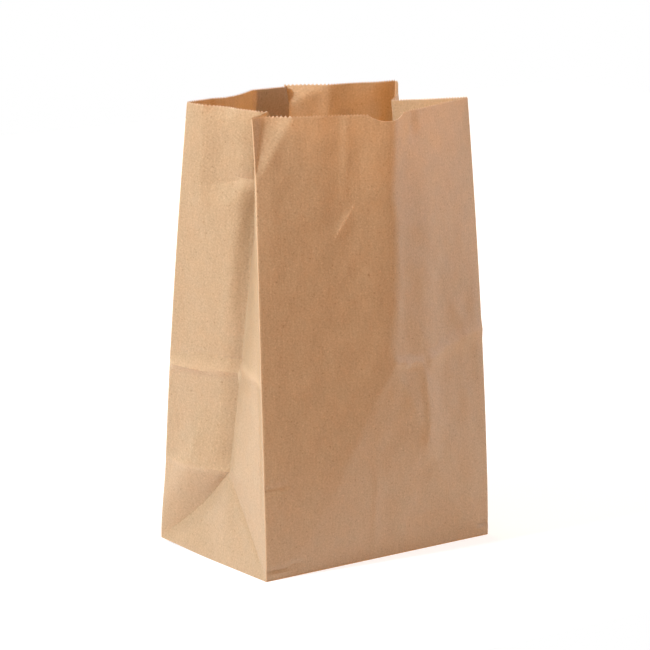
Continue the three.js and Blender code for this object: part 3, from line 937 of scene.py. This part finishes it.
def pink_rim(sheet, paper):
    """Sets teeth along the sheet's rim."""
    tree = pinked_rim_tree()
    modifier = sheet.modifiers.new("pinked rim", "NODES")
    modifier.node_group = tree
    sockets = {item.name: item.identifier for item in tree.interface.items_tree}
    modifier[sockets["Tooth Depth"]] = TOOTH_DEPTH * MM
    modifier[sockets["Weld"]] = WELD * MM
    modifier[sockets["Paper"]] = paper
    settle(sheet)


def thicken(piece):
    """Gives a skin the thickness of the paper, and shades it smooth between its folds."""
    solid = piece.modifiers.new("paper thickness", "SOLIDIFY")
    solid.thickness = PAPER * MM
    solid.offset = 0
    solid.use_even_offset = True
    mesh = settle(piece)
    mesh.shade_smooth()
    mesh.set_sharp_from_angle(angle=SHARP_ANGLE)


# Material

def new_material(name):
    """A material whose node tree is still empty."""
    material = bpy.data.materials.new(name)
    material.use_nodes = True
    material.node_tree.nodes.clear()
    return material


def sharp_crease_line(tree, sheet):
    """A line along the front's sharp crease, from 1 on it to 0 at its reach: a painted highlight on creased
    paper that is paler too.
    """
    start = Vector((*SHARP_CREASE.start, 0))
    line = (Vector((*SHARP_CREASE.end, 0)) - start) * MM
    from_start = add(tree, "ShaderNodeVectorMath", {0: sheet, 1: start * MM}, operation="SUBTRACT")
    along = add(tree, "ShaderNodeVectorMath", {
        0: from_start, 1: line / line.length_squared,
    }, operation="DOT_PRODUCT")
    held = add(tree, "ShaderNodeClamp", {"Value": along})
    nearest = add(tree, "ShaderNodeVectorMath", {0: line, "Scale": held}, operation="SCALE")
    away = add(tree, "ShaderNodeVectorMath", {0: from_start, 1: nearest}, operation="DISTANCE")
    return add(tree, "ShaderNodeMapRange", {
        "Value": away, "From Max": MARK_REACH * MM, "To Min": 1.0, "To Max": 0.0,
    }, interpolation_type="SMOOTHSTEP")


def fibre_tone(tree, sheet, cloud):
    """How light the paper is: slanting grain and upright fibre streaks on cloudy pulp."""
    slanting = add(tree, "ShaderNodeMapping", {"Vector": sheet, "Rotation": (0, 0, GRAIN_TURN)})
    grain = add(tree, "ShaderNodeTexNoise", {
        "Vector": slanting, "Scale": 1 / (GRAIN.size * MM), "Detail": GRAIN.detail,
    })
    stretch = (1, STREAK.size / STREAK_LENGTH, 1)
    upright = add(tree, "ShaderNodeMapping", {"Vector": sheet, "Scale": stretch})
    streak = add(tree, "ShaderNodeTexNoise", {
        "Vector": upright, "Scale": 1 / (STREAK.size * MM), "Detail": STREAK.detail,
    })
    fine = add(tree, "ShaderNodeMix", {"Factor": STREAK_SHARE, 2: grain, 3: streak})
    return add(tree, "ShaderNodeMix", {"Factor": CLOUD_SHARE, 2: fine, 3: cloud})


def flecked_brown(tree, tone, fleck):
    """Brown in its tone, with dark flecks and pale ones."""
    shade = add(tree, "ShaderNodeMapRange", {"Value": tone, **TONES})
    brown = add(tree, "ShaderNodeMix", {
        "Factor": shade, 6: linear(DARK_BROWN), 7: linear(LIGHT_BROWN),
    }, data_type="RGBA")
    dark = add(tree, "ShaderNodeMapRange", {"Value": fleck, **DARK_FLECKS})
    flecked = add(tree, "ShaderNodeMix", {
        "Factor": dark, 6: brown, 7: linear(DARK_FLECK),
    }, data_type="RGBA")
    pale = add(tree, "ShaderNodeMapRange", {"Value": fleck, **PALE_FLECKS})
    return add(tree, "ShaderNodeMix", {
        "Factor": pale, 6: flecked, 7: linear(PALE_FLECK),
    }, data_type="RGBA")


def rubbed_highlit_and_cut(tree, colour, mark):
    """The colour made paler along folds and creases, as rubbed paper and as a painted highlight, and cream
    where the cut edge shows.
    """
    wear = add(tree, "ShaderNodeAttribute", attribute_name="wear")
    rubbed_and_highlit = add(tree, "ShaderNodeMath", {0: wear.outputs["Fac"], 1: mark}, operation="MAXIMUM")
    rub_and_highlight = add(tree, "ShaderNodeMath", {0: rubbed_and_highlit, 1: RUB_AND_HIGHLIGHT_SHARE}, operation="MULTIPLY")
    worn_and_highlit = add(tree, "ShaderNodeMix", {"Factor": rub_and_highlight, 6: colour, 7: linear(RUBBED_AND_HIGHLIGHT)}, data_type="RGBA")
    cut = add(tree, "ShaderNodeAttribute", attribute_name="cut")
    return add(tree, "ShaderNodeMix", {
        "Factor": cut.outputs["Fac"], 6: worn_and_highlit, 7: linear(CUT_CREAM),
    }, data_type="RGBA")


def kraft_paper():
    """Unbleached kraft paper, machine finished: brown, cloudy, with upright fibre streaks, dark and pale
    flecks, a faint broad sheen, creases and folds painted paler, as worn paper and as a painted highlight,
    and cut edges that show cream. Real fibres are a thirtieth of a millimetre wide, so the grain is drawn as
    clumps of them, coarse enough to show."""
    material = new_material("kraft_paper")
    tree = material.node_tree
    sheet = add(tree, "ShaderNodeUVMap", uv_map="sheet")
    cloud = add(tree, "ShaderNodeTexNoise", {
        "Vector": sheet, "Scale": 1 / (CLOUD.size * MM), "Detail": CLOUD.detail,
    })
    fleck = add(tree, "ShaderNodeTexNoise", {
        "Vector": sheet, "Scale": 1 / (FLECK.size * MM), "Detail": FLECK.detail,
    })
    tone = fibre_tone(tree, sheet, cloud)
    # The sharp crease's pale line in patches: a painted highlight on creased paper that is paler too
    patchy = add(tree, "ShaderNodeMapRange", {"Value": fleck, **MARK_PATCHES})
    mark = add(tree, "ShaderNodeMath", {
        0: sharp_crease_line(tree, sheet), 1: patchy,
    }, operation="MULTIPLY")
    colour = rubbed_highlit_and_cut(tree, flecked_brown(tree, tone, fleck), mark)
    height = add(tree, "ShaderNodeMath", {0: mark, 1: MARK_HEIGHT, 2: tone}, operation="MULTIPLY_ADD")
    bump = add(tree, "ShaderNodeBump", {
        "Strength": BUMP_STRENGTH, "Distance": BUMP_DEPTH * MM, "Height": height,
    })
    face = add(tree, "ShaderNodeBsdfPrincipled", {
        "Base Color": colour, "Roughness": ROUGHNESS, "Specular IOR Level": SHEEN, "Normal": bump,
    })
    through = add(tree, "ShaderNodeBsdfTranslucent", {"Color": linear(LIGHT_THROUGH), "Normal": bump})
    uneven = add(tree, "ShaderNodeMapRange", {
        "Value": cloud, **CLOUD_LIMITS,
        "To Min": (1 - UNEVENNESS) * TRANSLUCENCY, "To Max": (1 + UNEVENNESS) * TRANSLUCENCY,
    })
    both = add(tree, "ShaderNodeMixShader", {"Fac": uneven, 1: face, 2: through})
    add(tree, "ShaderNodeOutputMaterial", {"Surface": both})
    return material


# Stage

def make_camera():
    """A camera where the photograph was taken from."""
    flat = math.cos(CAMERA_RISE)
    back = Vector((-math.sin(CAMERA_TURN) * flat, -math.cos(CAMERA_TURN) * flat, math.sin(CAMERA_RISE)))
    right = Vector((math.cos(CAMERA_TURN), -math.sin(CAMERA_TURN), 0))
    data = bpy.data.cameras.new("camera")
    data.sensor_width = SENSOR
    data.lens = SENSOR * FOCAL_PIXELS / FRAME_PIXELS
    camera = bpy.data.objects.new("camera", data)
    axes = Matrix((right, back.cross(right), back)).transposed()
    camera.matrix_world = Matrix.Translation(Vector(CAMERA_PLACE) * MM) @ axes.to_4x4()
    bpy.context.collection.objects.link(camera)
    bpy.context.scene.camera = camera


def make_lamp(name, place, size, power, colour, mirrored):
    """A soft box that faces the bag; the paper mirrors it or not."""
    data = bpy.data.lights.new(name, "AREA")
    data.shape = "DISK"
    data.size = size
    data.energy = power
    data.color = linear(colour)[:3]
    lamp = bpy.data.objects.new(name, data)
    lamp.location = place
    lamp.rotation_euler = (Vector(LAMP_AIM) - Vector(place)).to_track_quat("-Z", "Y").to_euler()
    lamp.visible_glossy = mirrored
    bpy.context.collection.objects.link(lamp)


def white_card():
    """Pale card under the bag: it takes the bag's shadow, and light of its own lifts it to white for the
    camera and in what the paper mirrors."""
    material = new_material("white_card")
    tree = material.node_tree
    card = add(tree, "ShaderNodeBsdfDiffuse", {"Color": linear(CARD_COLOUR)})
    seen = add(tree, "ShaderNodeLightPath").outputs
    mirrored = add(tree, "ShaderNodeMath", {
        0: seen["Is Glossy Ray"], 1: seen["Is Transmission Ray"],
    }, operation="MAXIMUM")
    sheen = add(tree, "ShaderNodeMath", {0: mirrored, 1: FLOOR_SHEEN}, operation="MULTIPLY")
    lift = add(tree, "ShaderNodeMath", {
        0: seen["Is Camera Ray"], 1: FLOOR_LIFT, 2: sheen,
    }, operation="MULTIPLY_ADD")
    warm = add(tree, "ShaderNodeMix", {
        "Factor": seen["Is Camera Ray"], 6: linear(SHEEN_COLOUR), 7: linear(WHITE),
    }, data_type="RGBA")
    glow = add(tree, "ShaderNodeEmission", {"Color": warm, "Strength": lift})
    both = add(tree, "ShaderNodeAddShader", {0: card, 1: glow})
    add(tree, "ShaderNodeOutputMaterial", {"Surface": both})
    return material


def make_floor():
    """A table that ends a little in front of the bag, so that the front panel mirrors less white."""
    left, right, front, rear = FLOOR_EDGES
    corners = [(left, front, 0), (right, front, 0), (right, rear, 0), (left, rear, 0)]
    mesh = bpy.data.meshes.new("floor")
    mesh.from_pydata(corners, [], [(0, 1, 2, 3)])
    mesh.materials.append(white_card())
    floor = bpy.data.objects.new("floor", mesh)
    bpy.context.collection.objects.link(floor)


def make_world():
    """A warm room in front of the bag and a dimmer white backdrop behind it; plain white to the camera."""
    world = bpy.data.worlds.new("world")
    bpy.context.scene.world = world
    world.use_nodes = True
    tree = world.node_tree
    tree.nodes.clear()
    way = add(tree, "ShaderNodeTexCoord").outputs["Generated"]
    behind = add(tree, "ShaderNodeVectorMath", {0: way, 1: BACKDROP_WAY}, operation="DOT_PRODUCT")
    share = add(tree, "ShaderNodeMapRange", {
        "Value": behind, "From Min": BACKDROP_START, "From Max": BACKDROP_FULL,
    }, interpolation_type="SMOOTHSTEP")
    room = add(tree, "ShaderNodeBackground", {"Color": linear(ROOM_COLOUR), "Strength": ROOM_LIGHT})
    backdrop = add(tree, "ShaderNodeBackground", {"Color": linear(WHITE), "Strength": BACKDROP_LIGHT})
    light = add(tree, "ShaderNodeMixShader", {"Fac": share, 1: room, 2: backdrop})
    white = add(tree, "ShaderNodeBackground", {"Color": linear(WHITE), "Strength": 1.0})
    seen = add(tree, "ShaderNodeLightPath").outputs
    mixed = add(tree, "ShaderNodeMixShader", {"Fac": seen["Is Camera Ray"], 1: light, 2: white})
    add(tree, "ShaderNodeOutputWorld", {"Surface": mixed})


make_camera()
for lamp in LAMPS:
    make_lamp(**lamp)
make_world()
make_floor()
bpy.context.scene.view_settings.view_transform = "Standard"

paper = kraft_paper()
tube = wall_tube()
sheet = bag_sheet(tube)
pink_rim(sheet, paper)
layers = [seam_lap(tube), base_flaps(), base_tucks()]
for layer in layers:
    layer.data.materials.append(paper)
for piece in [sheet] + layers:
    thicken(piece)
    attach(piece, "root")
    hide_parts("paper_bag")
